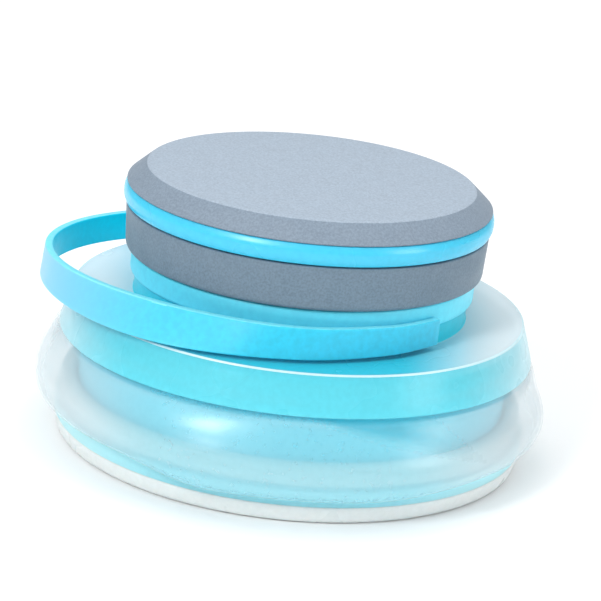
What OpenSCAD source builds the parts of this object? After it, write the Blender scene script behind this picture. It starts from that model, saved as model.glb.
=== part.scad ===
// Folding water bottle, standing collapsed: a soft tube between a stiff top and a stiff base.
// Millimetres, +Z up, origin at the centre of the foot's underside.

/* [Base] */
// Outside diameter of the base band
base_d = 88; // [74:0.5:106]
// Height of the clear foot under the base cup
foot_h = 3.3; // [2.6:0.1:5]
// Height of the base cup's outer band
band_h = 3.1; // [2.4:0.1:4]
// Height of the base cup's inner wall, above its band
cup_wall_h = 15.1; // [12.5:0.1:15.4]
// Wall thickness of the base cup
cup_wall = 1.2; // [1:0.1:1.6]

/* [Film wall] */
// How far the folded film bulges past the base band
film_bulge = 4.4; // [3.5:0.1:6]
// Thickness of the film
film_t = 0.4; // [0.3:0.05:0.5]
// Height of the ring that clamps the film to the base cup
base_clamp_h = 3; // [2.4:0.1:3.6]

/* [Top shell] */
// Height of the dome's lower edge above the floor
dome_edge_z = 19.9; // [19.5:0.1:24]
// Height of the dome, from its lower edge to the shoulder
dome_h = 7.2; // [6:0.1:9]
// How far the shoulder's rim lies inside the dome's lower edge
dome_taper = 2.2; // [1.8:0.1:3]
// Wall thickness of the top shell
shell_wall = 1.3; // [1.1:0.1:1.6]

/* [Neck] */
// Clear diameter of the mouth
mouth_d = 54; // [45:0.5:64.8]
// Wall thickness of the neck
neck_wall = 2.2; // [1.8:0.1:2.7]
// Height of the flange at the foot of the neck
flange_h = 3.9; // [3.2:0.1:4.7]
// How far that flange stands out from the neck
flange_proud = 1.8; // [1.5:0.1:2.2]
// Axial advance of the thread in one turn
thread_lead = 8; // [7:0.5:9.6]
// Height of the thread, from root to crest
thread_h = 1.4; // [1.1:0.1:1.7]

/* [Strap] */
// Height of the collar that holds the strap
collar_h = 4.3; // [3.8:0.1:5.2]
// Thickness of the strap
strap_t = 1.4; // [1.1:0.1:1.7]
// Width of the strap
strap_w = 5.5; // [4.6:0.1:6]
// Reach of the loop's tip from the neck axis, to the middle of the strap
strap_reach = 47.6; // [44:0.2:52]
// Direction in which the loop's tip points
strap_turn = 174; // [0:1:359]

/* [Cap] */
// Height of the cap's skirt
skirt_h = 8.1; // [7.9:0.1:10]
// Wall thickness of the skirt at its lower edge
skirt_wall = 2.1; // [1.7:0.1:2.6]
// Height of the loose ring between skirt and cover
ring_h = 3.7; // [3.3:0.1:4.5]
// Height of the bevelled cover
cover_h = 3.5; // [3.1:0.1:4.3]
// Thickness of the gasket
seal_t = 1.4; // [1.1:0.1:1.7]

/* [Clearances] */
// Gap between the skirt and the loose ring
ring_gap = 0.3; // [0.2:0.05:0.4]
// Axial gap on top of the loose ring, and under the gasket
top_gap = 0.08; // [0.05:0.01:0.12]
// Radial gap between the loose ring and the cap's hub
hub_clear = 0.2; // [0.15:0.05:0.3]
// Gap between the collar and the cap's skirt
skirt_gap = 0.3; // [0.2:0.05:0.5]
// Radial gap between thread crests and the facing wall
thread_clear = 0.5; // [0.4:0.05:0.7]
// Gap between the swinging strap and the cap
strap_clear = 0.35; // [0.3:0.05:0.6]
// Radial gap between the base cup's wall and the ring in the dome
nest_clear = 0.4; // [0.3:0.05:0.6]
// Gap on each side of the film where it is clamped
film_clear = 0.08; // [0.05:0.01:0.12]

/* [Hidden] */
$fn = 96;
eps = 0.02;

// Radii of the base
base_r = base_d / 2;
clamp_depth = 2.3;
cup_r = base_r - 4;
foot_in_r = base_r - 5.5;
foot_seat = 0.1;
floor_z = 1.4;
floor_t = 1.4;

// Heights, from the floor up
band_z = foot_h;
cup_ledge_z = band_z + band_h;
cup_top_z = cup_ledge_z + cup_wall_h;
shoulder_z = dome_edge_z + dome_h;
flange_top_z = shoulder_z + flange_h;
collar_top_z = flange_top_z + collar_h;
skirt_z = collar_top_z + skirt_gap;
skirt_top_z = skirt_z + skirt_h;
ring_z = skirt_top_z + ring_gap;
ring_top_z = ring_z + ring_h;
cover_z = ring_top_z + top_gap;
cap_top_z = cover_z + cover_h;
plate_drop = 0.55;
plate_t = 1.8;
plate_z = cover_z - plate_drop - plate_t;
seal_z = plate_z - seal_t;
neck_top_z = seal_z - top_gap;

// Dome: outer and inner cone
dome_r = base_r + 0.3;
rim_r = dome_r - dome_taper;
dome_in_r = dome_r - shell_wall;
function dome_inner_r(z) = dome_in_r - dome_taper * (z - dome_edge_z) / dome_h;

// Neck, thread and cap radii
mouth_r = mouth_d / 2;
neck_r = mouth_r + neck_wall;
flange_r = neck_r + flange_proud;
skirt_in_r = neck_r + thread_h + thread_clear;
skirt_r = skirt_in_r + skirt_wall;
skirt_flare = 0.45;
skirt_top_r = skirt_r + skirt_flare;
hub_r = skirt_in_r + 0.65;
ring_r = skirt_top_r + 0.4;
ring_bulge = 0.2;
cover_r = skirt_top_r + 0.2;
cap_rim_r = hub_r - 1.15;
cap_rim_wall = 2;
cover_top_t = 2;
collar_r = flange_r + 1;

// Thread: starts, ridge widths, and where the ridges begin
thread_starts = 2;
thread_pitch = thread_lead / thread_starts;
ridge_base = 0.4 * thread_pitch;
ridge_crest = 0.2 * thread_pitch;
thread_steps = 24;
neck_thread_turn = 0.5;
cap_thread_turn = 0.4;
neck_thread_z = neck_top_z - 1.1 - neck_thread_turn * thread_lead;
cap_thread_z = neck_thread_z - thread_pitch / 2 + thread_lead / 8;

// Strap: middle line, and the hinge line where it leaves the collar
strap_z = shoulder_z + 0.65 + strap_w / 2;
strap_side_r = ring_r + strap_clear + strap_t / 2;
strap_spread = 46;
strap_hug = 1.1;
strap_hinge_x = 22.5 / 34 * (strap_side_r - strap_hug);
strap_split_y = sqrt(pow(strap_side_r - strap_hug, 2) - pow(strap_hinge_x, 2));
strap_split_gap = 0.15;
strap_tab_end = 35;
strap_tab_w = strap_w - 0.7;

function smooth(t) = let (u = min(max(t, 0), 1)) u * u * (3 - 2 * u);
function strap_mid_r(a) = strap_side_r + (strap_reach - strap_side_r) * exp(-pow(a / strap_spread, 2))
    - strap_hug * smooth((abs(a) - 95) / 35);
function polar(r, a) = [r * cos(a), r * sin(a)];

// Points of a bent line, rounded through its corner points by a Catmull-Rom curve
function curve_point(p0, p1, p2, p3, t) = 0.5 * (2 * p1 + (p2 - p0) * t
    + (2 * p0 - 5 * p1 + 4 * p2 - p3) * t * t + (3 * p1 - p0 - 3 * p2 + p3) * t * t * t);
function rounded(line, steps) = let (n = len(line) - 1)
    [for (i = [0:n - 1]) for (k = [0:steps - 1])
        curve_point(line[max(i - 1, 0)], line[i], line[i + 1], line[min(i + 2, n)], k / steps),
     line[n]];
function side_step(line, i) = let (d = line[min(i + 1, len(line) - 1)] - line[max(i - 1, 0)])
    [-d[1], d[0]] / norm(d);
function ribbon(line, t) = concat(
    [for (i = [0:len(line) - 1]) line[i] + side_step(line, i) * t / 2],
    [for (i = [len(line) - 1:-1:0]) line[i] - side_step(line, i) * t / 2]);

// One helical thread ridge on a wall, standing from r_root to r_crest
module thread_ridge(r_root, r_crest, z, turns) {
    n = ceil(turns * thread_steps);
    section = [[r_root, -ridge_base / 2], [r_crest, -ridge_crest / 2],
               [r_crest, ridge_crest / 2], [r_root, ridge_base / 2]];
    points = [for (i = [0:n]) for (p = section)
        let (a = i * 360 / thread_steps) [p[0] * cos(a), p[0] * sin(a), z + p[1] + thread_lead * a / 360]];
    sides = [for (i = [0:n - 1]) for (k = [0:3]) let (a = 4 * i + k, b = 4 * i + (k + 1) % 4)
        each [[a, a + 4, b], [b, a + 4, b + 4]]];
    ends = [[0, 1, 2, 3], [4 * n + 3, 4 * n + 2, 4 * n + 1, 4 * n]];
    outward = r_crest > r_root;
    polyhedron(points, [for (f = concat(sides, ends)) outward ? [for (k = [len(f) - 1:-1:0]) f[k]] : f]);
}

module thread(r_root, r_crest, z, turns) {
    for (s = [0:thread_starts - 1])
        rotate([0, 0, s * 360 / thread_starts]) thread_ridge(r_root, r_crest, z, turns);
}

module ring(r_in, r_out, z, h) {
    translate([0, 0, z]) difference() {
        cylinder(r = r_out, h = h);
        translate([0, 0, -eps]) cylinder(r = r_in, h = h + 2 * eps);
    }
}

module foot_ring() {
    color([0.9, 0.94, 0.95, 0.7])
    rotate_extrude() polygon([
        [foot_in_r, 0], [base_r - 1.5, 0], [base_r - 0.7, 0.35], [base_r - 0.25, 1.1],
        [base_r, 2.2], [base_r, foot_h], [foot_in_r, foot_h]]);
}

module base_cup() {
    cup_in_r = cup_r - cup_wall;
    color([0.45, 0.8, 0.93, 0.75])
    rotate_extrude() polygon([
        [0, floor_z], [foot_in_r - foot_seat, floor_z], [foot_in_r - foot_seat, band_z],
        [base_r, band_z], [base_r, cup_ledge_z - 0.3], [base_r - 0.3, cup_ledge_z],
        [cup_r, cup_ledge_z], [cup_r, cup_top_z - 0.4], [cup_r - 0.4, cup_top_z],
        [cup_in_r, cup_top_z], [cup_in_r, floor_z + floor_t + 1], [cup_in_r - 1, floor_z + floor_t],
        [0, floor_z + floor_t]]);
}

module base_clamp_ring() {
    inner = cup_r + film_t + 2 * film_clear;
    color([0.5, 0.82, 0.94, 0.8])
    ring(inner, cup_r + clamp_depth, cup_ledge_z, base_clamp_h);
}

// The film: up beside the cup, over the clamp, down and out in a fold, and up into the dome
module soft_wall() {
    start_r = cup_r + film_clear + film_t / 2;
    clamp_top = cup_ledge_z + base_clamp_h;
    edge_gap = film_t / 2 + 2 * film_clear;
    bulge_r = base_r + film_bulge - film_t / 2;
    dome_gap = film_t / 2 + film_clear;
    entry_z = dome_edge_z - 0.5;
    slot_z = dome_edge_z + 0.9;
    end_z = dome_edge_z + 2.6;
    line = [
        [start_r, cup_ledge_z + 2 * film_clear], [start_r, clamp_top],
        [start_r + 1.1, clamp_top + 1.4], [cup_r + clamp_depth + 0.9, clamp_top + 0.9],
        [base_r - 0.9, cup_ledge_z + 1.3], [base_r + 1.8, cup_ledge_z + 0.1],
        [bulge_r - 0.35, cup_ledge_z + 1.2], [bulge_r, cup_ledge_z + 3.4],
        [bulge_r - 1.1, cup_ledge_z + 7.2], [base_r + 0.9, dome_edge_z - 1.7],
        [dome_inner_r(entry_z) - dome_gap, entry_z], [dome_inner_r(slot_z) - dome_gap, slot_z],
        [dome_inner_r(end_z) - dome_gap, end_z]];
    color([0.85, 0.93, 0.96, 0.5])
    rotate_extrude() polygon(ribbon(rounded(line, 4), film_t));
}

module dome_clamp_ring() {
    gap = film_t + 2 * film_clear + 0.1;
    low = dome_edge_z + 0.3;
    high = dome_edge_z + 2.9;
    inner = cup_r + nest_clear;
    color([0.6, 0.86, 0.95, 0.8])
    rotate_extrude() polygon([
        [inner, low], [dome_inner_r(low) - gap, low], [dome_inner_r(high) - gap, high], [inner, high]]);
}

module top_shell() {
    under_z = shoulder_z - shell_wall;
    bead_z = collar_top_z + 0.1;
    bead = 0.8;
    color([0.8, 0.93, 0.97, 0.6]) {
        rotate_extrude() polygon([
            [mouth_r, neck_top_z], [mouth_r, under_z], [dome_inner_r(under_z) - 0.8, under_z],
            [dome_inner_r(under_z - 0.8), under_z - 0.8], [dome_in_r, dome_edge_z],
            [dome_r - 0.2, dome_edge_z], [dome_r, dome_edge_z + 0.3], [rim_r + 0.15, shoulder_z - 0.6],
            [rim_r - 0.1, shoulder_z - 0.2], [rim_r - 0.6, shoulder_z], [flange_r, shoulder_z],
            [flange_r, flange_top_z], [neck_r, flange_top_z], [neck_r, bead_z],
            [neck_r + bead, bead_z + 0.2], [neck_r + bead, bead_z + 0.5], [neck_r, bead_z + 1],
            [neck_r, neck_top_z - 0.4], [neck_r - 0.4, neck_top_z]]);
        thread(neck_r - 0.6, neck_r + thread_h, neck_thread_z, neck_thread_turn);
    }
}

// One end of the strap, moulded on the collar's side
module strap_tab(side) {
    split_a = asin(strap_split_y / (strap_side_r - strap_hug));
    outer_r = strap_side_r - strap_hug + strap_t / 2;
    end_r = collar_r + 1.2;
    steps = 8;
    outer = [for (i = [0:steps]) polar(end_r + (outer_r - end_r) * smooth(i / steps),
        strap_tab_end + (split_a + 3 - strap_tab_end) * i / steps)];
    inner = [polar(collar_r - 0.5, split_a + 3), polar(collar_r - 0.5, strap_tab_end)];
    intersection() {
        translate([0, 0, strap_z - strap_tab_w / 2]) linear_extrude(strap_tab_w)
            mirror([0, side < 0 ? 1 : 0, 0]) polygon(concat(outer, inner));
        translate([0, side > 0 ? 0 : -(strap_split_y - strap_split_gap), strap_z - strap_w])
            cube([2 * collar_r, strap_split_y - strap_split_gap, 2 * strap_w]);
    }
}

module strap_collar() {
    color([0.18, 0.7, 0.9])
    rotate([0, 0, strap_turn + 180]) {
        ring(neck_r + 0.05, collar_r, flange_top_z, collar_h);
        for (side = [-1, 1]) strap_tab(side);
    }
}

// The free loop, laid down round the neck; its tip points along -X before it is turned
module carry_strap() {
    last = 140;
    count = 56;
    middle = [for (i = [0:count]) let (a = -last + 2 * last * i / count) polar(-strap_mid_r(a), a)];
    color([0.3, 0.76, 0.93])
    rotate([0, 0, strap_turn + 180]) difference() {
        translate([0, 0, strap_z - strap_w / 2]) linear_extrude(strap_w) polygon(ribbon(middle, strap_t));
        translate([strap_hinge_x - 12, -(strap_split_y + strap_split_gap), strap_z - strap_w])
            cube([2 * strap_side_r, 2 * (strap_split_y + strap_split_gap), 2 * strap_w]);
    }
}

module cap_body() {
    color([0.47, 0.51, 0.55]) {
        rotate_extrude() polygon([
            [0, plate_z], [skirt_in_r, plate_z], [skirt_in_r, skirt_z + 0.4], [skirt_in_r + 0.4, skirt_z],
            [skirt_r - 0.8, skirt_z], [skirt_r - 0.2, skirt_z + 0.3], [skirt_r, skirt_z + 0.9],
            [skirt_top_r, skirt_top_z - 0.3], [skirt_top_r - 0.3, skirt_top_z], [hub_r, skirt_top_z],
            [hub_r, cover_z], [cap_rim_r, cover_z], [cap_rim_r, cap_top_z - cover_top_t - 0.1],
            [cap_rim_r - cap_rim_wall, cap_top_z - cover_top_t - 0.1],
            [cap_rim_r - cap_rim_wall, plate_z + plate_t], [0, plate_z + plate_t]]);
        rotate([0, 0, 45])
            thread(skirt_in_r + 0.6, neck_r + 0.7, cap_thread_z, cap_thread_turn);
    }
}

module cap_seal() {
    color([0.85, 0.88, 0.9])
    ring(mouth_r - 0.5, skirt_in_r - 0.6, seal_z, seal_t);
}

module cap_ring() {
    inner = hub_r + hub_clear;
    color([0.18, 0.72, 0.92])
    rotate_extrude() polygon([
        [inner, ring_z], [ring_r - 0.4, ring_z], [ring_r, ring_z + 0.5],
        [ring_r + ring_bulge, ring_z + ring_h / 2], [ring_r, ring_top_z - 0.3],
        [ring_r - 0.3, ring_top_z], [inner, ring_top_z]]);
}

module cap_cover() {
    recess_r = cap_rim_r + 0.1;
    bevel = cover_h - 0.5;
    color([0.5, 0.54, 0.58])
    rotate_extrude() polygon([
        [recess_r, cover_z], [cover_r - 0.2, cover_z], [cover_r, cover_z + 0.2],
        [cover_r, cover_z + 0.5], [cover_r - bevel + 0.3, cap_top_z - 0.3],
        [cover_r - bevel - 0.2, cap_top_z - 0.06], [cover_r - bevel - 0.8, cap_top_z], [0, cap_top_z],
        [0, cap_top_z - cover_top_t], [recess_r, cap_top_z - cover_top_t]]);
}

foot_ring();
base_cup();
base_clamp_ring();
soft_wall();
dome_clamp_ring();
top_shell();
strap_collar();
carry_strap();
cap_body();
cap_seal();
cap_ring();
cap_cover();
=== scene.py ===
"""Looks of a folding water bottle that stands collapsed.

It has frosted shells, a folded film wall, a cyan strap and a grey screw cap.
"""

import logging
import math
from dataclasses import dataclass, field, replace
from enum import Enum

import bmesh
import bpy
from mathutils import Matrix, Vector, noise


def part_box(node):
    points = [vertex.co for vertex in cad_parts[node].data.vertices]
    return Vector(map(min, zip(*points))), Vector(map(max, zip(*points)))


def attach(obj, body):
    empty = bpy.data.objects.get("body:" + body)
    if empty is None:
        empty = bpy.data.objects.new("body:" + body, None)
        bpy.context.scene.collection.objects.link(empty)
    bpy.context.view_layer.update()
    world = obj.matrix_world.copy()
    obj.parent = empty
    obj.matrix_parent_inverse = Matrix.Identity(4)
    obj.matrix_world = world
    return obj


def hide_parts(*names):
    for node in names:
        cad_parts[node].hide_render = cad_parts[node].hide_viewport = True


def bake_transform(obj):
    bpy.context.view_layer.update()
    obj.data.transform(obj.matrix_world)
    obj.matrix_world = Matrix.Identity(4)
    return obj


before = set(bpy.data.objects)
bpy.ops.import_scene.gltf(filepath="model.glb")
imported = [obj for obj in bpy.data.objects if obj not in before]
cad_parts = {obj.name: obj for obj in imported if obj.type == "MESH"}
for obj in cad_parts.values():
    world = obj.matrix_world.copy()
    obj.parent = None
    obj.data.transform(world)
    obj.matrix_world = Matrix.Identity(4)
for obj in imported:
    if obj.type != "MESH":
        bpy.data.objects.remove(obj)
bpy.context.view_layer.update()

MM = 0.001
LOG = logging.getLogger("bottle")
Point = tuple[float, float]


def smooth(t: float) -> float:
    """Returns t eased from 0 to 1, and held at both ends."""
    u = min(max(t, 0.0), 1.0)
    return u * u * (3.0 - 2.0 * u)


def outer_radius(node: str) -> float:
    """Returns the outer radius of a round CAD node, in metres."""
    low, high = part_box(node)
    return max(high.x, high.y, -low.x, -low.y)


# ---------------------------------------------------------------- outlines


@dataclass(frozen=True)
class Corner:
    """A corner of an outline in the (radius, height) plane, with the radius that rounds it off."""

    r: float
    z: float
    fillet: float = 0.0


class Outline:
    """Works out the points of lathe outlines and bent lines.

    An arc takes at most LARGEST_SHARE of a side.
    """

    ARC_STEPS = 5
    LARGEST_SHARE = 0.45

    @classmethod
    def rounded(cls, corners: list[Corner]) -> list[Point]:
        """Rounds every corner of a closed outline that has a fillet with a short arc.

        Args:
            corners: the corners in order.

        Returns:
            The outline's points.
        """
        points: list[Point] = []
        count = len(corners)
        for i, corner in enumerate(corners):
            here = Vector((corner.r, corner.z))
            if corner.fillet <= 0:
                points.append((here.x, here.y))
                continue
            before = corners[i - 1]
            after = corners[(i + 1) % count]
            back = Vector((before.r, before.z)) - here
            ahead = Vector((after.r, after.z)) - here
            reach = min(corner.fillet, cls.LARGEST_SHARE * back.length, cls.LARGEST_SHARE * ahead.length)
            start = here + back.normalized() * reach
            end = here + ahead.normalized() * reach
            for k in range(cls.ARC_STEPS + 1):
                t = k / cls.ARC_STEPS
                p = start.lerp(here, t).lerp(here.lerp(end, t), t)
                points.append((p.x, p.y))
        return points

    @staticmethod
    def curved(line: list[Point], steps: int) -> list[Point]:
        """Draws a Catmull-Rom curve through the points of a line.

        Args:
            line: the points the curve passes through.
            steps: how many steps each stretch gets.

        Returns:
            The curve's points.
        """
        last = len(line) - 1
        points: list[Point] = []
        for i in range(last):
            near = [Vector(line[min(max(i + k, 0), last)]) for k in (-1, 0, 1, 2)]
            for k in range(steps):
                t = k / steps
                p = 0.5 * (
                    2 * near[1]
                    + (near[2] - near[0]) * t
                    + (2 * near[0] - 5 * near[1] + 4 * near[2] - near[3]) * t * t
                    + (3 * near[1] - near[0] - 3 * near[2] + near[3]) * t ** 3
                )
                points.append((p.x, p.y))
        points.append(line[last])
        return points


# ---------------------------------------------------------------- meshes


class Mesh:
    """Makes the mesh objects that the pieces are built from."""

    TURN_STEPS = 192
    MERGE_DISTANCE = 1e-7
    ON_AXIS = 1e-9

    @classmethod
    def from_parts(
            cls, name: str, points: list[Vector], faces: list[list[int]],
            smooth_angle: float = 40.0) -> bpy.types.Object:
        """Makes an object from points and faces, cleaned up and shaded smooth except at sharp edges.

        Args:
            name: the piece's name.
            points: the vertices, in metres.
            faces: vertex numbers of every face.
            smooth_angle: edges sharper than this many degrees stay crisp.

        Returns:
            The new object, linked to the scene.
        """
        data = bpy.data.meshes.new(name)
        data.from_pydata([tuple(p) for p in points], [], faces)
        bm = bmesh.new()
        bm.from_mesh(data)
        bmesh.ops.remove_doubles(bm, verts=bm.verts, dist=cls.MERGE_DISTANCE)
        bmesh.ops.dissolve_degenerate(bm, edges=bm.edges, dist=cls.MERGE_DISTANCE)
        bmesh.ops.recalc_face_normals(bm, faces=bm.faces)
        for edge in bm.edges:
            edge.smooth = edge.is_manifold and edge.calc_face_angle(0.0) < math.radians(smooth_angle)
        for face in bm.faces:
            face.smooth = True
        bm.to_mesh(data)
        bm.free()
        piece = bpy.data.objects.new(name, data)
        bpy.context.scene.collection.objects.link(piece)
        return piece

    @classmethod
    def lathe(cls, name: str, outline: list[Point], smooth_angle: float = 40.0) -> bpy.types.Object:
        """Turns a closed outline about the Z axis.

        Args:
            name: the piece's name.
            outline: (radius, height) points, in metres; points on the axis close the form.
            smooth_angle: edges sharper than this many degrees stay crisp.

        Returns:
            The new object.
        """
        steps, count = cls.TURN_STEPS, len(outline)
        points = []
        for s in range(steps):
            a = 2 * math.pi * s / steps
            points += [Vector((r * math.cos(a), r * math.sin(a), z)) for r, z in outline]
        faces = []
        for s in range(steps):
            here, there = s * count, (s + 1) % steps * count
            for k in range(count):
                j = (k + 1) % count
                if outline[k][0] < cls.ON_AXIS and outline[j][0] < cls.ON_AXIS:
                    continue
                faces.append([here + k, there + k, there + j, here + j])
        return cls.from_parts(name, points, faces, smooth_angle)

    @staticmethod
    def join(name: str, pieces: list[bpy.types.Object]) -> bpy.types.Object:
        """Joins several objects into the first one, under a new name.

        Args:
            name: the joined piece's name.
            pieces: the objects to join.

        Returns:
            The joined object.
        """
        bpy.ops.object.select_all(action="DESELECT")
        for piece in pieces:
            piece.select_set(True)
        bpy.context.view_layer.objects.active = pieces[0]
        bpy.ops.object.join()
        pieces[0].name = name
        pieces[0].data.name = name
        return pieces[0]


@dataclass
class Thread:
    """A helical screw thread with two starts, whose ridges fade in and out at their ends."""

    lead: float = 8 * MM
    starts: int = 2
    base: float = 1.6 * MM
    crest: float = 0.8 * MM
    sink: float = 0.1 * MM
    steps_per_turn: int = 72
    fade: float = 0.06
    least: float = 0.02

    def ridges(
            self, name: str, root: float, tip: float, z: float, turns: float,
            turn_start: float = 0.0) -> bpy.types.Object:
        """Builds all the ridges of the thread.

        Args:
            name: the object's name.
            root: radius at which the ridges leave the wall.
            tip: radius of their crests.
            z: height of a ridge's middle where it begins.
            turns: length of each ridge, in turns.
            turn_start: where the first ridge begins, in turns.

        Returns:
            The ridges as one object.
        """
        points, faces = [], []
        steps = int(turns * self.steps_per_turn)
        for s in range(self.starts):
            first = len(points)
            for i in range(steps + 1):
                t = i / self.steps_per_turn
                rise = smooth(min(t, turns - t) / self.fade)
                a = 2 * math.pi * (t + turn_start + s / self.starts)
                reach = root + (tip - root) * max(rise, self.least)
                base, crest = self.base / 2, self.crest / 2
                for r, dz in ((root, -base), (reach, -crest), (reach, crest), (root, base)):
                    points.append(Vector((r * math.cos(a), r * math.sin(a), z + dz + self.lead * t)))
            for i in range(steps):
                for k in range(4):
                    a, b = first + 4 * i + k, first + 4 * i + (k + 1) % 4
                    faces.append([a, a + 4, b + 4, b])
            faces.append([first + k for k in range(4)])
            faces.append([first + 4 * steps + k for k in (3, 2, 1, 0)])
        return Mesh.from_parts(name, points, faces, 30)


# ---------------------------------------------------------------- finishes


@dataclass(frozen=True)
class Finish:
    """A moulded plastic, with a fine grain and a little unevenness in its colour and gloss."""

    name: str
    colour: tuple[float, float, float]
    mottle: float = 0.06
    mottle_scale: float = 900.0
    roughness: float = 0.45
    roughness_spread: float = 0.08
    grain: float = 0.08
    grain_scale: float = 4200.0
    alpha: float = 1.0
    subsurface: float = 0.0
    subsurface_radius: tuple[float, float, float] = (0.002, 0.003, 0.004)
    sheen: float = 0.0
    coat: float = 0.0
    specular: float = 0.5
    # pale: the colour that the left and right sides, as the camera sees the bottle, are blended towards;
    # with the front's own colour this paints light and shade.
    pale: tuple[float, float, float] | None = None
    painted_side_from: float = 0.020
    painted_side_to: float = 0.042

    SHEEN_ROUGHNESS = 0.4
    COAT_ROUGHNESS = 0.25
    MOTTLE_ENDS = (0.35, 0.65)
    PATCH_ENDS = (0.3, 0.7)
    PATCH_SIZE = 12
    GRAIN_DEPTH = 0.1 * MM

    def material(self) -> bpy.types.Material:
        """Makes the Blender material of this finish.

        Returns:
            The material.
        """
        mat = bpy.data.materials.new(self.name)
        mat.use_nodes = True
        tree = mat.node_tree
        shader = tree.nodes["Principled BSDF"]
        place = tree.nodes.new("ShaderNodeTexCoord")
        self._colour(tree, place, shader)
        self._gloss(tree, place, shader)
        self._surface(tree, place, shader)
        shader.inputs["Alpha"].default_value = self.alpha
        shader.inputs["Subsurface Weight"].default_value = self.subsurface
        shader.inputs["Subsurface Radius"].default_value = self.subsurface_radius
        shader.inputs["Subsurface Scale"].default_value = 1.0
        shader.inputs["Sheen Weight"].default_value = self.sheen
        shader.inputs["Sheen Roughness"].default_value = self.SHEEN_ROUGHNESS
        shader.inputs["Coat Weight"].default_value = self.coat
        shader.inputs["Coat Roughness"].default_value = self.COAT_ROUGHNESS
        shader.inputs["Specular IOR Level"].default_value = self.specular
        return mat

    @staticmethod
    def _noise(
            tree: bpy.types.NodeTree, place: bpy.types.Node, scale: float, detail: float) -> bpy.types.Node:
        """Adds a noise texture that lies in the object's own space.

        Args:
            tree: the material's node tree.
            place: the texture coordinates.
            scale: how fine the noise is.
            detail: how many finer layers it has.

        Returns:
            The noise texture.
        """
        node = tree.nodes.new("ShaderNodeTexNoise")
        node.inputs["Scale"].default_value = scale
        node.inputs["Detail"].default_value = detail
        tree.links.new(place.outputs["Object"], node.inputs["Vector"])
        return node

    def _colour(self, tree: bpy.types.NodeTree, place: bpy.types.Node, shader: bpy.types.Node) -> None:
        """Mottles the base colour between a darker and a lighter tone, and blends the left and right sides,
        as the camera sees them, towards pale as painted light and shade.

        Args:
            tree: the material's node tree.
            place: the texture coordinates.
            shader: the shader to feed.
        """
        speck = self._noise(tree, place, self.mottle_scale, 3.0)
        ramp = tree.nodes.new("ShaderNodeValToRGB")
        gains = (1 - self.mottle, 1 + self.mottle)
        for element, position, gain in zip(ramp.color_ramp.elements, self.MOTTLE_ENDS, gains):
            element.position = position
            element.color = tuple(min(1.0, c * gain) for c in self.colour) + (1.0,)
        tree.links.new(speck.outputs["Fac"], ramp.inputs["Fac"])
        if self.pale is None:
            tree.links.new(ramp.outputs["Color"], shader.inputs["Base Color"])
            return
        # Painted light and shade: the left and right sides, as the camera sees them, are blended towards
        # pale.
        blend = tree.nodes.new("ShaderNodeMix")
        blend.data_type = "RGBA"
        blend.inputs["B"].default_value = self.pale + (1.0,)
        tree.links.new(self._painted_side_mask(tree, place), blend.inputs["Factor"])
        tree.links.new(ramp.outputs["Color"], blend.inputs["A"])
        tree.links.new(blend.outputs["Result"], shader.inputs["Base Color"])

    def _painted_side_mask(self, tree: bpy.types.NodeTree, place: bpy.types.Node) -> bpy.types.NodeSocket:
        """Measures how far out to either side a point lies, as the camera sees it, which sets how much of
        the painted pale side colour it gets.

        Args:
            tree: the material's node tree.
            place: the texture coordinates.

        Returns:
            The socket that gives the measure, from 0 to 1.
        """
        split = tree.nodes.new("ShaderNodeSeparateXYZ")
        away = tree.nodes.new("ShaderNodeMath")
        away.operation = "ABSOLUTE"
        fade = tree.nodes.new("ShaderNodeMapRange")
        fade.interpolation_type = "SMOOTHSTEP"
        fade.inputs["From Min"].default_value = self.painted_side_from
        fade.inputs["From Max"].default_value = self.painted_side_to
        tree.links.new(place.outputs["Object"], split.inputs["Vector"])
        tree.links.new(split.outputs["X"], away.inputs[0])
        tree.links.new(away.outputs["Value"], fade.inputs["Value"])
        return fade.outputs["Result"]

    def _gloss(self, tree: bpy.types.NodeTree, place: bpy.types.Node, shader: bpy.types.Node) -> None:
        """Varies the roughness over larger patches, as handling does.

        Args:
            tree: the material's node tree.
            place: the texture coordinates.
            shader: the shader to feed.
        """
        patch = self._noise(tree, place, self.mottle_scale / self.PATCH_SIZE, 2.0)
        spread = tree.nodes.new("ShaderNodeMapRange")
        spread.interpolation_type = "SMOOTHERSTEP"
        spread.inputs["From Min"].default_value = self.PATCH_ENDS[0]
        spread.inputs["From Max"].default_value = self.PATCH_ENDS[1]
        spread.inputs["To Min"].default_value = self.roughness - self.roughness_spread
        spread.inputs["To Max"].default_value = self.roughness + self.roughness_spread
        tree.links.new(patch.outputs["Fac"], spread.inputs["Value"])
        tree.links.new(spread.outputs["Result"], shader.inputs["Roughness"])

    def _surface(self, tree: bpy.types.NodeTree, place: bpy.types.Node, shader: bpy.types.Node) -> None:
        """Raises the fine grain of the mould.

        Args:
            tree: the material's node tree.
            place: the texture coordinates.
            shader: the shader to feed.
        """
        fine = self._noise(tree, place, self.grain_scale, 2.0)
        bump = tree.nodes.new("ShaderNodeBump")
        bump.inputs["Strength"].default_value = self.grain
        bump.inputs["Distance"].default_value = self.GRAIN_DEPTH
        tree.links.new(fine.outputs["Fac"], bump.inputs["Height"])
        tree.links.new(bump.outputs["Normal"], shader.inputs["Normal"])


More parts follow.
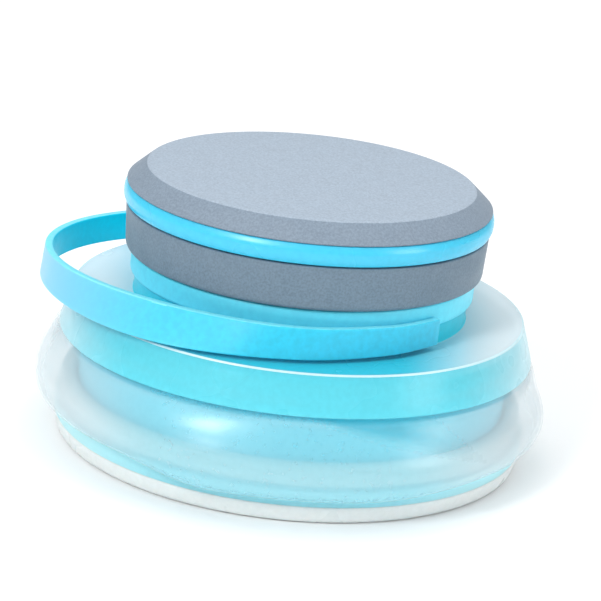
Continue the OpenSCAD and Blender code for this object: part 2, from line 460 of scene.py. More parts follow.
GREY_CAP = Finish(
    "soft_grey_cap", (0.315, 0.385, 0.465), mottle=0.12, mottle_scale=2600,
    roughness=0.62, grain=0.40, grain_scale=3200, sheen=0.12)
# The bevel's darker grey is painted shade, a shaded copy of the cap's grey.
GREY_BEVEL_PAINTED_SHADE = Finish(
    "soft_grey_bevel_painted_shade", (0.200, 0.258, 0.325), mottle=0.12, mottle_scale=2600,
    roughness=0.60, grain=0.40, grain_scale=3200, sheen=0.08)
# The skirt's darker grey is partly the body's own grey and partly painted shade.
GREY_SKIRT_WITH_PAINTED_SHADE = Finish(
    "soft_grey_skirt_with_painted_shade", (0.155, 0.222, 0.285), mottle=0.12, mottle_scale=2600,
    roughness=0.60, grain=0.40, grain_scale=3200, sheen=0.10)
CYAN_RING = Finish("cyan_ring", (0.06, 0.58, 0.84), mottle=0.03, roughness=0.30, grain=0.05, subsurface=0.1)
# The collar's cyan is brighter than the ring's to make up for the shade under the cap: painted light.
CYAN_COLLAR_PAINTED_LIGHT = Finish("cyan_collar_painted_light", (0.13, 0.79, 0.99), mottle=0.03, roughness=0.42, grain=0.06)
# The strap's outer face pales at its left and right sides: painted side light.
STRAP_OUTSIDE = Finish(
    "strap_frosted_side", (0.030, 0.56, 0.78), mottle=0.06, roughness=0.46, grain=0.14, subsurface=0.25,
    sheen=0.35, pale=(0.22, 0.59, 0.80), painted_side_from=0.020, painted_side_to=0.048)
# The inner face's saturated cyan is painted shade.
STRAP_INSIDE_PAINTED_SHADE = Finish("strap_inside_painted_shade", (0.0, 0.76, 0.98), mottle=0.03, roughness=0.42, grain=0.05)
# The lighter top and bottom edges are a painted highlight.
STRAP_EDGE_PAINTED_HIGHLIGHT = Finish(
    "strap_edge_painted_highlight", (0.17, 0.70, 0.86), mottle=0.04, roughness=0.40, grain=0.10, subsurface=0.3)
# The skirt pales at its left and right sides: painted side light.
SHELL_SKIRT = Finish(
    "frosted_shell", (0.15, 0.80, 0.93), mottle=0.03, roughness=0.28, roughness_spread=0.02, grain=0.10,
    alpha=0.66, sheen=0.3, pale=(0.66, 0.90, 0.96), painted_side_from=0.028, painted_side_to=0.052)
# The shoulder's deep cyan at the front is the strap's shadow painted on; it pales to a whitish tint at the
# left and right sides.
SHELL_SHOULDER_PAINTED_SHADOW = Finish(
    "frosted_shoulder_painted_shadow", (0.0, 0.62, 0.80), mottle=0.03, roughness=0.26, roughness_spread=0.02, grain=0.10,
    alpha=0.80, sheen=0.3, pale=(0.86, 0.94, 0.97), painted_side_from=0.018, painted_side_to=0.039)
# The flange's deep cyan below the collar is painted shade.
SHELL_FLANGE_PAINTED_SHADE = Finish(
    "flange_painted_shade", (0.02, 0.72, 0.90), mottle=0.03, roughness=0.32, roughness_spread=0.03, grain=0.06,
    alpha=0.85)
# The rim bead's whiter band is a painted highlight.
SHELL_RIM_PAINTED_HIGHLIGHT = Finish(
    "shell_rim_painted_highlight", (0.70, 0.93, 0.98), mottle=0.02, roughness=0.20, roughness_spread=0.02, grain=0.04,
    alpha=0.8)
# The film pales at its left and right sides: painted side light.
CLEAR_FILM = Finish(
    "clear_film", (0.42, 0.86, 0.95), mottle=0.02, roughness=0.38, roughness_spread=0.02, grain=0.05,
    alpha=0.32, sheen=0.3, specular=1.0, coat=1.0, pale=(0.82, 0.92, 0.95), painted_side_from=0.020, painted_side_to=0.042)
CYAN_CUP = Finish("cyan_cup", (0.004, 0.66, 0.86), mottle=0.04, roughness=0.40, grain=0.06)
# The fold pales a little at its left and right sides: painted side light.
FILM_FOLD = Finish(
    "film_fold", (0.72, 0.90, 0.93), mottle=0.03, roughness=0.34, roughness_spread=0.02, grain=0.05,
    alpha=0.62, sheen=0.3, pale=(0.84, 0.93, 0.95), painted_side_from=0.020)
CLAMP_RING = Finish(
    "pale_clamp_ring", (0.62, 0.86, 0.90), mottle=0.03, roughness=0.42, grain=0.06, subsurface=0.1)
# The band pales at its left and right sides: painted side light.
PALE_BAND = Finish(
    "pale_cyan_band", (0.30, 0.72, 0.83), mottle=0.03, roughness=0.36, grain=0.06, subsurface=0.2,
    pale=(0.48, 0.86, 0.93), painted_side_from=0.015)
CLEAR_FOOT = Finish(
    "clear_foot", (0.88, 0.94, 0.94), mottle=0.02, roughness=0.34, grain=0.06, alpha=0.92, subsurface=0.2)
SEAL_SILICONE = Finish(
    "seal_silicone", (0.62, 0.66, 0.68), mottle=0.03, roughness=0.5, grain=0.05, subsurface=0.3)


def dressed(name: str, finish: Finish) -> bpy.types.Object:
    """Gives a CAD piece, whose shape is right as it is, its finish.

    Args:
        name: the CAD node's name.
        finish: the finish that replaces its plain material.

    Returns:
        The CAD piece.
    """
    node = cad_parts[name]
    node.data.materials.clear()
    node.data.materials.append(finish.material())
    return node


# ---------------------------------------------------------------- sub-assemblies


class CoverPart(Enum):
    """The parts of the cap's cover that have finishes of their own; the bevel's darker grey is painted
    shade.
    """

    TOP = 0
    BEVEL = 1


@dataclass
class Cap:
    """The screw cap: bevelled cover, loose ring, threaded body and gasket."""

    cover_wall: float = 3.1 * MM
    cover_top: float = 2.0 * MM
    bevel_end: float = 3.6 * MM
    level: float = 0.8
    ring_width: float = 2.3 * MM
    ring_crown: float = 1.1 * MM
    ring_gap: float = 0.3 * MM
    skirt_wall: float = 2.1 * MM
    skirt_taper: float = 0.45 * MM
    hub_step: float = 0.65 * MM
    rim_step: float = 1.15 * MM
    rim_wall: float = 2.0 * MM
    plate: float = 1.8 * MM
    neck_room: float = 1.9 * MM
    ridge_room: float = 0.7 * MM
    ridge_turns: float = 0.4
    ridge_start: float = 0.125
    thread: Thread = field(default_factory=Thread)

    def build(self) -> list[bpy.types.Object]:
        """Builds and dresses every piece of the cap."""
        return [self.cover(), self.ring(), self.body(), self.seal()]

    def cover(self) -> bpy.types.Object:
        """Builds the cover with its bevel and its soft edges, the bevel painted a darker grey as shade.

        Returns:
            The cover.
        """
        low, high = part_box("cap_cover")
        r = outer_radius("cap_cover")
        recess = r - self.cover_wall
        ceiling = high.z - self.cover_top
        outline = Outline.rounded([
            Corner(0, high.z), Corner(r - self.bevel_end, high.z, 0.45 * MM),
            Corner(r, low.z + 0.25 * MM, 0.3 * MM), Corner(r - 0.1 * MM, low.z, 0.2 * MM),
            Corner(recess, low.z, 0.1 * MM), Corner(recess, ceiling, 0.3 * MM), Corner(0, ceiling)])
        piece = Mesh.lathe("cap_cover_shell", outline, 30)
        piece.data.materials.append(GREY_CAP.material())
        piece.data.materials.append(GREY_BEVEL_PAINTED_SHADE.material())
        # Faces that do not face straight up get the darker bevel grey: painted shade.
        for face in piece.data.polygons:
            part = CoverPart.TOP if face.normal.z > self.level else CoverPart.BEVEL
            face.material_index = part.value
        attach(piece, "cap")
        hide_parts("cap_cover")
        return piece

    def ring(self) -> bpy.types.Object:
        """Builds the loose ring, with its rounded outer face.

        Returns:
            The ring.
        """
        low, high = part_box("cap_ring")
        r = outer_radius("cap_ring")
        inner = r - self.ring_width
        outline = Outline.rounded([
            Corner(inner, low.z, 0.15 * MM), Corner(r - 0.5 * MM, low.z, 0.3 * MM),
            Corner(r, low.z + self.ring_crown, 0.9 * MM), Corner(r, high.z - self.ring_crown, 0.9 * MM),
            Corner(r - 0.6 * MM, high.z, 0.3 * MM), Corner(inner, high.z, 0.15 * MM)])
        piece = Mesh.lathe("cap_loose_ring", outline, 50)
        piece.data.materials.append(CYAN_RING.material())
        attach(piece, "ring")
        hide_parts("cap_ring")
        return piece

    def body(self) -> bpy.types.Object:
        """Builds the skirt, the plate, the hub and the inside thread.

        Returns:
            The cap's body.
        """
        low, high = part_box("cap_body")
        top = outer_radius("cap_body")
        bottom = top - self.skirt_taper
        inside = bottom - self.skirt_wall
        hub = inside + self.hub_step
        skirt_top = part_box("cap_ring")[0].z - self.ring_gap
        cover_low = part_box("cap_cover")[0].z
        rim = hub - self.rim_step
        rim_inside = rim - self.rim_wall
        plate_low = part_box("cap_seal")[1].z
        plate_top = plate_low + self.plate
        outline = Outline.rounded([
            Corner(0, plate_low), Corner(inside, plate_low, 0.4 * MM), Corner(inside, low.z, 0.4 * MM),
            Corner(bottom, low.z, 0.9 * MM), Corner(top, skirt_top, 0.35 * MM),
            Corner(hub, skirt_top, 0.1 * MM), Corner(hub, cover_low, 0.1 * MM),
            Corner(rim, cover_low, 0.1 * MM), Corner(rim, high.z, 0.2 * MM),
            Corner(rim_inside, high.z, 0.2 * MM), Corner(rim_inside, plate_top, 0.3 * MM),
            Corner(0, plate_top)])
        shell = Mesh.lathe("cap_threaded_body", outline, 35)
        root = inside + self.thread.sink
        tip = inside - self.neck_room + self.ridge_room
        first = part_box("top_shell")[1].z - TopShell.ridge_drop - TopShell.ridge_turns * self.thread.lead
        z = first - self.ridge_start * self.thread.lead
        ridges = self.thread.ridges("cap_thread", root, tip, z, self.ridge_turns, self.ridge_start)
        piece = Mesh.join("cap_threaded_body", [shell, ridges])
        # The skirt's darker grey is partly the body's own grey and partly painted shade.
        piece.data.materials.append(GREY_SKIRT_WITH_PAINTED_SHADE.material())
        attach(piece, "cap")
        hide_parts("cap_body")
        return piece

    def seal(self) -> bpy.types.Object:
        """Dresses the gasket."""
        return dressed("cap_seal", SEAL_SILICONE)


class StrapSide(Enum):
    """The finishes of the strap's sides; the inner side's saturated cyan is painted shade, and the top and
    bottom edges carry a painted highlight.
    """

    FROSTED = 0
    BARE = 1
    EDGE = 2


def strap_inside() -> float:
    """Returns the radius that the strap's inner face keeps beside the cap, with a small clearance."""
    return outer_radius("cap_ring") + 0.35 * MM


@dataclass
class Strap:
    """The collar on the neck and the flexible loop whose two ends are moulded on it.

    Angles are in degrees. Those along the loop count from its tip, and the front side is positive.
    """

    collar_radius: float = 32.0 * MM
    collar_wall: float = 2.75 * MM
    collar_height: float = 4.3 * MM
    inside: float = field(default_factory=strap_inside)
    thickness: float = 1.5 * MM
    edge: float = 0.35 * MM
    turn: float = 174.0
    reach: float = 47.6 * MM
    spread: float = 46.0
    end_angle: float = 145.0
    hug: float = 1.5 * MM
    hug_from: float = 95.0
    hug_over: float = 30.0
    end_hug: float = 1.08 * MM
    end_from: float = 122.0
    end_over: float = 23.0
    slim: float = 0.10
    slim_from: float = 110.0
    slim_over: float = 35.0
    lean: float = 5.0 * MM
    lean_centre: float = 57.0
    lean_spread: float = 34.0
    steps: int = 260

    LEVEL = 0.8
    INWARD = -0.5

    def build(self) -> list[bpy.types.Object]:
        """Builds and dresses the collar and the loop."""
        return [self.collar(), self.loop()]

    def collar(self) -> bpy.types.Object:
        """Builds the collar ring with its softly rounded lower edge.

        Returns:
            The collar.
        """
        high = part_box("strap_collar")[1]
        low_z = high.z - self.collar_height
        r = self.collar_radius
        inner = r - self.collar_wall
        outline = Outline.rounded([
            Corner(inner, low_z, 0.2 * MM), Corner(r, low_z, 0.6 * MM),
            Corner(r, high.z, 0.5 * MM), Corner(inner, high.z, 0.2 * MM)])
        piece = Mesh.lathe("strap_neck_collar", outline, 50)
        # The collar's cyan is brighter than the ring's to make up for the shade under the cap: painted
        # light.
        piece.data.materials.append(CYAN_COLLAR_PAINTED_LIGHT.material())
        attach(piece, "top")
        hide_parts("strap_collar")
        return piece

    def loop(self) -> bpy.types.Object:
        """Builds and dresses the band, whose ends come in against the collar.

        Returns:
            The band.
        """
        low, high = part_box("carry_strap")
        middle_z, half = (low.z + high.z) / 2, (high.z - low.z) / 2
        points, faces = self.sweep(middle_z, half)
        piece = Mesh.from_parts("carry_strap_band", points, faces, 45)
        # The inner side gets a saturated cyan as painted shade, the top and bottom edges a lighter cyan as a
        # painted highlight.
        for finish in (STRAP_OUTSIDE, STRAP_INSIDE_PAINTED_SHADE, STRAP_EDGE_PAINTED_HIGHLIGHT):
            piece.data.materials.append(finish.material())
        for face in piece.data.polygons:
            face.material_index = self.side_of(face).value
        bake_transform(piece)
        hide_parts("carry_strap")
        return piece

    def sweep(self, middle_z: float, half: float) -> tuple[list[Vector], list[list[int]]]:
        """Sweeps the band's cross-section round the neck, from one square end to the other.

        Args:
            middle_z: height of the band's middle line.
            half: half the band's height.

        Returns:
            The points and the faces of the closed band.
        """
        section = self.section(half)
        count = len(section)
        points: list[Vector] = []
        for i in range(self.steps + 1):
            angle = -self.end_angle + 2 * self.end_angle * i / self.steps
            centre, outward = self.place(angle)
            slim = 1 - self.slim * smooth((abs(angle) - self.slim_from) / self.slim_over)
            tilt = self.lean * math.exp(-(((angle - self.lean_centre) / self.lean_spread) ** 2))
            for across, up in section:
                leaned = across + tilt * (0.5 - up / (2 * half))
                points.append(centre + outward * leaned + Vector((0, 0, middle_z + up * slim)))
        faces: list[list[int]] = []
        for i in range(self.steps):
            for k in range(count):
                a, b = i * count + k, i * count + (k + 1) % count
                faces.append([a, a + count, b + count, b])
        faces.append(list(range(count)))
        faces.append([self.steps * count + k for k in reversed(range(count))])
        return points, faces

    def section(self, half: float) -> list[Point]:
        """Returns the band's cross-section with rounded edges.

        Args:
            half: half the band's height.

        Returns:
            (across, up) points.
        """
        t = self.thickness / 2
        square = ((-t, -half), (t, -half), (t, half), (-t, half))
        return Outline.rounded([Corner(across, up, self.edge) for across, up in square])

    def place(self, angle: float) -> tuple[Vector, Vector]:
        """Finds where the band runs in plan.

        Args:
            angle: angle along the loop.

        Returns:
            The middle of the band, and the direction square to it that points away from the neck.
        """
        along = (self.middle(angle + 0.5) - self.middle(angle - 0.5)).normalized()
        return self.middle(angle), Vector((along.y, -along.x, 0))

    def middle(self, angle: float) -> Vector:
        """Returns the middle of the band in plan, at an angle along the loop."""
        t = math.radians(angle + self.turn)
        return self.radius(angle) * Vector((math.cos(t), math.sin(t), 0))

    def radius(self, angle: float) -> float:
        """Works out how far the loop's middle line lies from the neck's axis.

        Args:
            angle: angle along the loop.

        Returns:
            The distance in metres.
        """
        side = self.inside + self.thickness / 2
        bulge = (self.reach - side) * math.exp(-((angle / self.spread) ** 2))
        hugged = self.hug * smooth((abs(angle) - self.hug_from) / self.hug_over)
        ended = self.end_hug * smooth((abs(angle) - self.end_from) / self.end_over)
        return side + bulge - hugged - ended

    @classmethod
    def side_of(cls, face: bpy.types.MeshPolygon) -> StrapSide:
        """Tells which side of the band a face belongs to: faces turned up or down take the painted highlight
        of the edges, faces turned to the neck the painted shade of the inner side.

        Args:
            face: the face.

        Returns:
            The side.
        """
        outward = Vector((face.center.x, face.center.y, 0)).normalized()
        if abs(face.normal.z) > cls.LEVEL:
            return StrapSide.EDGE
        return StrapSide.BARE if face.normal.dot(outward) < cls.INWARD else StrapSide.FROSTED


class ShellPart(Enum):
    """The parts of the top shell that have finishes of their own: the rim's whiter band is a painted
    highlight, the flange's deep cyan is painted shade, and the shoulder carries the strap's painted shadow
    at its front.
    """

    SKIRT = 0
    RIM = 1
    SHOULDER = 2
    FLANGE = 3


@dataclass
class TopShell:
    """The stiff frosted top: dome skirt, shoulder, threaded neck, and the ring that clamps the film."""

    wall: float = 1.3 * MM
    taper: float = 2.2 * MM
    dome_height: float = 7.2 * MM
    flange_radius: float = 31.0 * MM
    flange_height: float = 3.9 * MM
    neck_radius: float = 29.2 * MM
    mouth_radius: float = 27.0 * MM
    ridge_height: float = 1.4 * MM
    ridge_drop: float = 1.1 * MM
    ridge_turns: float = 0.5
    rim_highlight_height: float = 0.25 * MM
    rim_highlight_width: float = 0.28 * MM
    rim_highlight_inset: float = 0.1 * MM
    skirt_inset: float = 0.3 * MM
    flange_inset: float = 10.0 * MM
    thread: Thread = field(default_factory=Thread)

    def build(self) -> list[bpy.types.Object]:
        """Builds the shell and dresses the clamp ring."""
        return [self.shell(), self.clamp()]

    def shell(self) -> bpy.types.Object:
        """Builds the shell in one moulding, with a soft bead round the shoulder's rim. The bead is finished
        whiter as a painted highlight, the flange deep cyan as painted shade, and the shoulder's front deep
        cyan as the strap's painted shadow.

        Returns:
            The shell.
        """
        low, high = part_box("top_shell")
        r = outer_radius("top_shell")
        rim = r - self.taper
        shoulder = low.z + self.dome_height
        under = shoulder - self.wall
        flange_r, neck_r, mouth_r = self.flange_radius, self.neck_radius, self.mouth_radius
        flange_top = shoulder + self.flange_height
        outline = Outline.rounded([
            Corner(mouth_r, high.z, 0.4 * MM), Corner(mouth_r, under, 0.8 * MM),
            Corner(rim - self.wall, under, 0.9 * MM), Corner(r - self.wall, low.z, 0.2 * MM),
            Corner(r, low.z, 0.35 * MM), Corner(rim + 0.12 * MM, shoulder - 0.5 * MM, 0.5 * MM),
            Corner(rim - 0.05 * MM, shoulder + 0.12 * MM, 0.35 * MM),
            Corner(rim - 0.9 * MM, shoulder, 0.5 * MM),
            Corner(flange_r, shoulder - 0.1 * MM, 0.6 * MM), Corner(flange_r, flange_top, 0.2 * MM),
            Corner(neck_r, flange_top, 0.1 * MM), Corner(neck_r, high.z, 0.5 * MM)])
        shell = Mesh.lathe("frosted_top_shell", outline, 35)
        z = high.z - self.ridge_drop - self.ridge_turns * self.thread.lead
        root, tip = neck_r - self.thread.sink, neck_r + self.ridge_height
        ridges = self.thread.ridges("neck_thread", root, tip, z, self.ridge_turns)
        piece = Mesh.join("frosted_top_shell", [shell, ridges])
        for finish in (SHELL_SKIRT, SHELL_RIM_PAINTED_HIGHLIGHT, SHELL_SHOULDER_PAINTED_SHADOW, SHELL_FLANGE_PAINTED_SHADE):
            piece.data.materials.append(finish.material())
        for face in piece.data.polygons:
            face.material_index = self.part_of(face, rim, shoulder).value
        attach(piece, "top")
        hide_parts("top_shell")
        return piece

    def part_of(self, face: bpy.types.MeshPolygon, rim: float, shoulder: float) -> ShellPart:
        """Tells which part of the shell a face belongs to: a narrow band round the rim takes the painted
        highlight, and the flange below the collar the painted shade.

        Args:
            face: the face.
            rim: radius of the shoulder's rim.
            shoulder: height of the shoulder.

        Returns:
            The part.
        """
        reach = math.hypot(face.center.x, face.center.y)
        at_shoulder = abs(face.center.z - shoulder) < self.rim_highlight_height
        # A narrow band round the rim bead takes the whiter finish: a painted highlight.
        if at_shoulder and abs(reach - rim + self.rim_highlight_inset) < self.rim_highlight_width:
            return ShellPart.RIM
        # The flange below the collar takes the deep cyan: painted shade.
        if reach < rim - self.flange_inset and face.center.z > shoulder:
            return ShellPart.FLANGE
        return ShellPart.SHOULDER if reach < rim - self.skirt_inset else ShellPart.SKIRT

    def clamp(self) -> bpy.types.Object:
        """Dresses the clamp ring inside the dome."""
        return dressed("dome_clamp_ring", CYAN_CUP)


class FilmPart(Enum):
    """The parts of the film that have finishes of their own; TIGHT is the first of several levels."""

    WALL = 0
    FOLD = 1
    TIGHT = 2


@dataclass
class FilmWall:
    """The soft wall: one thin film that folds over the base clamp, bulges out and tucks into the dome.

    Angles round the axis are in degrees, 270 is the front, and wedge_slant is in degrees per metre.
    """

    thickness: float = 0.4 * MM
    steps: int = 288
    curve_steps: int = 9
    clamp_grip: float = 2.02 * MM
    bulge_room: float = 0.25 * MM
    dome_gap: float = 0.3 * MM
    fold_width: float = 1.9 * MM
    fold_height: float = 6.0 * MM
    free_from: float = 44.2 * MM
    free_over: float = 2.6 * MM
    dome_hold: float = 3.0 * MM
    droop: float = 1.1 * MM
    droop_from: float = 230.0
    droop_grow: float = 26.0
    droop_until: float = 285.0
    droop_fade: float = 35.0
    lift: float = 0.9 * MM
    lift_from: float = 130.0
    lift_grow: float = 40.0
    right_lift: float = 0.6
    lean: float = 0.9 * MM
    lean_from: float = 1.0 * MM
    lean_over: float = 4.0 * MM
    pinch: float = 0.45 * MM
    slack_out: float = 0.45 * MM
    slack_down: float = 0.5 * MM
    slack_scale: float = 1.6
    crease: float = 0.16 * MM
    crease_scale: float = 5.0
    wedge_start: float = 272.0
    wedge_length: float = 19.0
    wedge_slant: float = 1500.0
    wedge_fade: float = 14.0
    wedge_fall: float = 0.16 * MM
    wedge_inset: float = 0.3 * MM
    wedge_soft: float = 1.7 * MM
    wedge_clear: float = 0.36
    wedge_levels: int = 8

    def line(self) -> list[Point]:
        """Works out the film's middle line, from the base clamp to the inside of the dome.

        Returns:
            The (radius, height) points that it passes through.
        """
        cup = outer_radius("base_cup")
        clamp_low, clamp_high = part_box("base_clamp_ring")
        ledge, clamp_top = clamp_low.z, clamp_high.z
        clamp_r = outer_radius("base_clamp_ring")
        dome_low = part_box("top_shell")[0].z
        dome_in = outer_radius("top_shell") - TopShell.wall - self.dome_gap
        slope = TopShell.taper / TopShell.dome_height
        start = clamp_r - self.clamp_grip
        bulge = outer_radius("soft_wall") - self.thickness / 2 - self.bulge_room
        clamped = [(start, ledge + 0.2 * MM), (start, clamp_top)]
        over_clamp = [(start + 1.1 * MM, clamp_top + 1.2 * MM), (clamp_r + 0.8 * MM, clamp_top + 0.7 * MM)]
        on_ledge = [(cup - 0.9 * MM, ledge + 1.3 * MM), (cup + 1.5 * MM, ledge + 0.2 * MM)]
        bulging = [
            (bulge - 0.7 * MM, ledge + 0.4 * MM), (bulge, ledge + 2.0 * MM),
            (bulge - 0.1 * MM, ledge + 5.2 * MM), (bulge - 1.3 * MM, ledge + 8.2 * MM),
            (bulge - 2.6 * MM, ledge + 10.8 * MM)]
        under_dome = [(cup + 0.3 * MM, dome_low - 1.2 * MM), (dome_in + 0.1 * MM, dome_low - 0.4 * MM)]
        in_dome = [(dome_in - slope * up, dome_low + up) for up in (0.9 * MM, 2.6 * MM)]
        return clamped + over_clamp + on_ledge + bulging + under_dome + in_dome

    def shaped(self, r: float, z: float, angle: float, ledge: float, dome_low: float) -> Vector:
        """Returns a point of the film, with its slack, droop and creases.

        Args:
            r: radius of the even wall.
            z: height of the even wall.
            angle: direction round the axis, in radians.
            ledge: height of the base's ledge.
            dome_low: height of the dome's lower edge.

        Returns:
            The point in metres.
        """
        free = smooth((r - self.free_from) / self.free_over) * smooth((dome_low - z) / self.dome_hold)
        low = smooth((ledge + self.fold_height - z) / self.fold_height) * free
        degrees = math.degrees(angle) % 360
        front = smooth((degrees - self.droop_from) / self.droop_grow)
        hang = self.droop * front * (1 - smooth((degrees - self.droop_until) / self.droop_fade))
        hang -= self.lift * smooth((degrees - self.lift_from) / self.lift_grow) * (1 - front)
        hang -= self.right_lift * self.lift * smooth(math.cos(angle) * 2 - 1)
        above = smooth((z - ledge - self.lean_from) / self.lean_over)
        lean = self.lean * math.cos(angle) * free * above
        around = Vector((math.cos(angle), math.sin(angle), 0))
        slack = noise.noise(around * self.slack_scale + Vector((3.1, 0.4, z * 40)))
        fine = noise.noise(around * self.crease_scale + Vector((0.0, 7.7, z * 130)))
        pinch = self.pinch * max(0.0, math.cos(angle))
        z -= low * (hang + self.slack_down * slack) + lean
        r += free * (self.slack_out * slack + self.crease * fine - pinch)
        return Vector((r * around.x, r * around.y, z))

    def finishes(self) -> list[Finish]:
        """Makes the finishes in the order of FilmPart.

        Returns:
            The wall's, the fold's, and those of the tight film's levels from clear to dull.
        """
        levels = []
        for k in range(self.wedge_levels):
            share = self.wedge_clear + (1 - self.wedge_clear) * k / self.wedge_levels
            levels.append(replace(CLEAR_FILM, name=f"film_tight_{k}", alpha=CLEAR_FILM.alpha * share))
        return [CLEAR_FILM, FILM_FOLD, *levels]

    def slackness(self, place: Vector, dome_low: float) -> float:
        """Tells how slack the film is; it is pulled tight over the cup in a wedge under the dome's edge.

        Args:
            place: a point of the film, in metres.
            dome_low: height of the dome's lower edge.

        Returns:
            0 in the wedge, rising to 1 outside it.
        """
        along = math.degrees(math.atan2(place.y, place.x)) % 360 - self.wedge_start
        if along < 0:
            return 1.0
        down = dome_low - place.z
        above = self.wedge_fall * along - down - self.wedge_inset
        end = self.wedge_length + self.wedge_slant * max(0.0, down)
        soft = self.wedge_soft * (0.4 + along / self.wedge_length)
        return 1 - smooth((above + soft / 2) / soft) * (1 - smooth((along - end) / self.wedge_fade))

    def tube(self, ledge: float, dome_low: float) -> bpy.types.Object:
        """Builds the film's mesh with its real thickness.

        Args:
            ledge: height of the base's ledge.
            dome_low: height of the dome's lower edge.

        Returns:
            The film, without its finishes.
        """
        line = Outline.curved(self.line(), self.curve_steps)
        count = len(line)
        points, faces = [], []
        for s in range(self.steps):
            a = 2 * math.pi * s / self.steps
            points += [self.shaped(r, z, a, ledge, dome_low) for r, z in line]
        for s in range(self.steps):
            here, there = s * count, (s + 1) % self.steps * count
            faces += [[here + k, there + k, there + k + 1, here + k + 1] for k in range(count - 1)]
        piece = Mesh.from_parts("folded_film_wall", points, faces, 60)
        thick = piece.modifiers.new("film", "SOLIDIFY")
        thick.thickness = self.thickness
        thick.offset = 0
        bpy.context.view_layer.objects.active = piece
        piece.select_set(True)
        bpy.ops.object.modifier_apply(modifier=thick.name)
        for face in piece.data.polygons:
            face.use_smooth = True
        return piece

    def dress(self, piece: bpy.types.Object, ledge: float, dome_low: float) -> None:
        """Gives the film's wall, its inner fold and its tight wedge their finishes.

        Args:
            piece: the film.
            ledge: height of the base's ledge.
            dome_low: height of the dome's lower edge.
        """
        for finish in self.finishes():
            piece.data.materials.append(finish.material())
        fold_r, fold_z = outer_radius("base_clamp_ring") + self.fold_width, ledge + self.fold_height
        for face in piece.data.polygons:
            level = int(self.slackness(face.center, dome_low) * self.wedge_levels)
            if math.hypot(face.center.x, face.center.y) < fold_r and face.center.z < fold_z:
                face.material_index = FilmPart.FOLD.value
            elif level < self.wedge_levels:
                face.material_index = FilmPart.TIGHT.value + level
            else:
                face.material_index = FilmPart.WALL.value

    def build(self) -> list[bpy.types.Object]:
        """Builds and dresses the film, which runs from the base to the top.

        Returns:
            The film, as a list of one piece.
        """
        clamp_low, clamp_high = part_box("base_clamp_ring")
        ledge, clamp_top = clamp_low.z, clamp_high.z
        dome_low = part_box("top_shell")[0].z
        piece = self.tube(ledge, dome_low)
        self.dress(piece, ledge, dome_low)
        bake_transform(piece)
        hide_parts("soft_wall")
        return [piece]


class CupPart(Enum):
    """The parts of the base cup that have finishes of their own."""

    WALL = 0
    BAND = 1


@dataclass
class Base:
    """The stiff base: tinted cup, the ring that clamps the film, and the clear foot."""

    band_height: float = 3.1 * MM
    floor: float = 1.4 * MM
    wall_inset: float = 4.0 * MM
    lining_inset: float = 5.2 * MM
    seat_inset: float = 5.6 * MM
    foot_width: float = 5.5 * MM
    foot_slant: float = 2.4 * MM
    band_margin: float = 1.0 * MM
    top_margin: float = 0.05 * MM

    def build(self) -> list[bpy.types.Object]:
        """Builds and dresses the base."""
        return [self.cup(), self.foot(), self.clamp()]

    def cup(self) -> bpy.types.Object:
        """Builds the cup, with its outer band and its inner wall.

        Returns:
            The cup.
        """
        low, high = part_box("base_cup")
        r = outer_radius("base_cup")
        band_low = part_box("foot_ring")[1].z
        ledge = band_low + self.band_height
        wall_r, inside, seat = r - self.wall_inset, r - self.lining_inset, r - self.seat_inset
        outline = Outline.rounded([
            Corner(0, low.z), Corner(seat, low.z, 0.2 * MM), Corner(seat, band_low, 0.1 * MM),
            Corner(r, band_low, 0.15 * MM), Corner(r, ledge, 0.5 * MM), Corner(wall_r, ledge, 0.3 * MM),
            Corner(wall_r, high.z, 0.5 * MM), Corner(inside, high.z, 0.3 * MM),
            Corner(inside, low.z + self.floor, 1.4 * MM), Corner(0, low.z + self.floor)])
        piece = Mesh.lathe("tinted_base_cup", outline, 40)
        piece.data.materials.append(CYAN_CUP.material())
        piece.data.materials.append(PALE_BAND.material())
        for face in piece.data.polygons:
            outside = math.hypot(face.center.x, face.center.y) > wall_r + self.band_margin
            banded = outside and face.center.z < ledge - self.top_margin
            face.material_index = (CupPart.BAND if banded else CupPart.WALL).value
        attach(piece, "base")
        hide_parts("base_cup")
        return piece

    def foot(self) -> bpy.types.Object:
        """Builds the foot ring, rounded where it meets the floor.

        Returns:
            The foot ring.
        """
        low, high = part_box("foot_ring")
        r = outer_radius("foot_ring")
        inner = r - self.foot_width
        outline = Outline.rounded([
            Corner(inner, low.z, 0.4 * MM), Corner(r - 0.6 * MM, low.z, 1.4 * MM),
            Corner(r, low.z + self.foot_slant, 0.8 * MM), Corner(r, high.z, 0.3 * MM),
            Corner(inner, high.z, 0.2 * MM)])
        piece = Mesh.lathe("clear_foot_ring", outline, 50)
        piece.data.materials.append(CLEAR_FOOT.material())
        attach(piece, "base")
        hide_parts("foot_ring")
        return piece

    def clamp(self) -> bpy.types.Object:
        """Dresses the clamp ring on the cup."""
        return dressed("base_clamp_ring", CLAMP_RING)


# ---------------------------------------------------------------- studio


@dataclass(frozen=True)
class Softbox:
    """A rectangular studio lamp that points at a target."""

    name: str
    place: tuple[float, float, float]
    target: tuple[float, float, float]
    width: float
    height: float
    power: float

    def build(self) -> None:
        """Hangs the lamp."""
        lamp = bpy.data.lights.new(self.name, "AREA")
        lamp.shape = "RECTANGLE"
        lamp.size, lamp.size_y, lamp.energy = self.width, self.height, self.power
        holder = bpy.data.objects.new(self.name, lamp)
        bpy.context.scene.collection.objects.link(holder)
        holder.location = self.place
        aim = Vector(self.target) - Vector(self.place)
        holder.rotation_euler = aim.to_track_quat("-Z", "Y").to_euler()


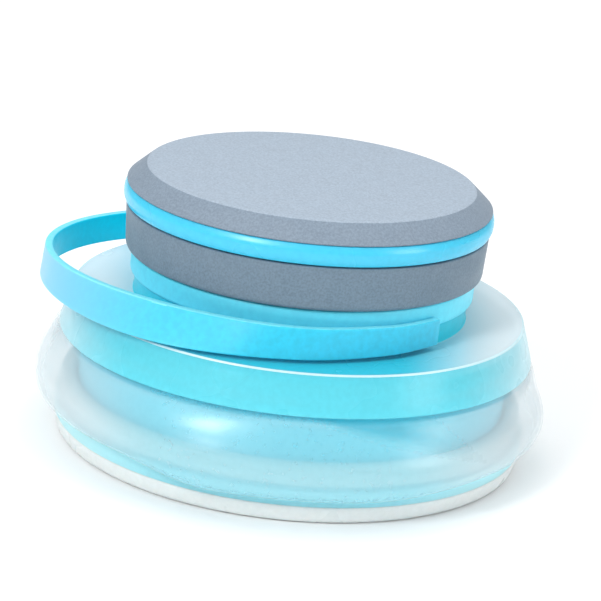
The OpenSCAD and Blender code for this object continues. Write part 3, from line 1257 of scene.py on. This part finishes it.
@dataclass
class Studio:
    """The camera, the pale floor and the soft lamps."""

    distance: float = 0.5
    elevation: float = 17.62
    roll: float = 5.9
    aim_right: float = 0.0002
    aim_up: float = 0.0255
    lens: float = 157.8
    sensor: float = 36.0
    nearest: float = 0.01
    farthest: float = 20.0
    floor_reach: float = 4.0
    floor_drop: float = 0.05 * MM

    def build(self) -> None:
        """Sets up the whole studio."""
        self.camera()
        self.floor()
        self.light()

    def camera(self) -> None:
        """Makes the camera, which looks slightly down at the bottle's front."""
        e = math.radians(self.elevation)
        back = Vector((0, -math.cos(e), math.sin(e)))
        right = Vector((1, 0, 0))
        up = back.cross(right)
        data = bpy.data.cameras.new("camera")
        data.lens, data.sensor_width = self.lens, self.sensor
        data.clip_start, data.clip_end = self.nearest, self.farthest
        camera = bpy.data.objects.new("camera", data)
        bpy.context.scene.collection.objects.link(camera)
        turned = Matrix((right, up, back)).transposed() @ Matrix.Rotation(math.radians(self.roll), 3, "Z")
        camera.matrix_world = turned.to_4x4()
        camera.location = back * self.distance + right * self.aim_right + up * self.aim_up
        bpy.context.scene.camera = camera

    def floor(self) -> None:
        """Lays the pale floor."""
        square = ((-1, -1), (1, -1), (1, 1), (-1, 1))
        corners = [Vector((self.floor_reach * x, self.floor_reach * y, -self.floor_drop)) for x, y in square]
        floor = Mesh.from_parts("floor", corners, [[0, 1, 2, 3]])
        mat = bpy.data.materials.new("pale_floor")
        mat.use_nodes = True
        shader = mat.node_tree.nodes["Principled BSDF"]
        shader.inputs["Base Color"].default_value = (0.92, 0.92, 0.92, 1)
        shader.inputs["Roughness"].default_value = 0.7
        floor.data.materials.append(mat)

    def light(self) -> None:
        """Hangs three softboxes in a bright, pale surround."""
        world = bpy.data.worlds.new("surround")
        bpy.context.scene.world = world
        world.use_nodes = True
        surround = world.node_tree.nodes["Background"]
        surround.inputs["Color"].default_value = (0.94, 0.97, 1.0, 1)
        surround.inputs["Strength"].default_value = 0.30
        heart = (0.0, 0.0, 0.03)
        Softbox("sky_softbox", (0.0, 0.55, 1.5), (0.0, 0.35, 0.0), 3.0, 3.0, 40.0).build()
        Softbox("key_softbox", (-0.51, -0.71, 0.65), heart, 0.24, 0.30, 5.6).build()
        Softbox("side_softbox", (0.9, -0.4, 0.35), heart, 0.35, 0.5, 2.6).build()
        bpy.context.scene.view_settings.view_transform = "Standard"


def main() -> None:
    """Builds the studio and every sub-assembly, and reports each piece."""
    logging.basicConfig(level=logging.INFO, format="%(name)s: %(message)s")
    Studio().build()
    for assembly in (Base(), FilmWall(), TopShell(), Strap(), Cap()):
        for piece in assembly.build():
            LOG.info("%s: %s, %d faces", type(assembly).__name__, piece.name, len(piece.data.polygons))


if __name__ == "__main__":
    main()
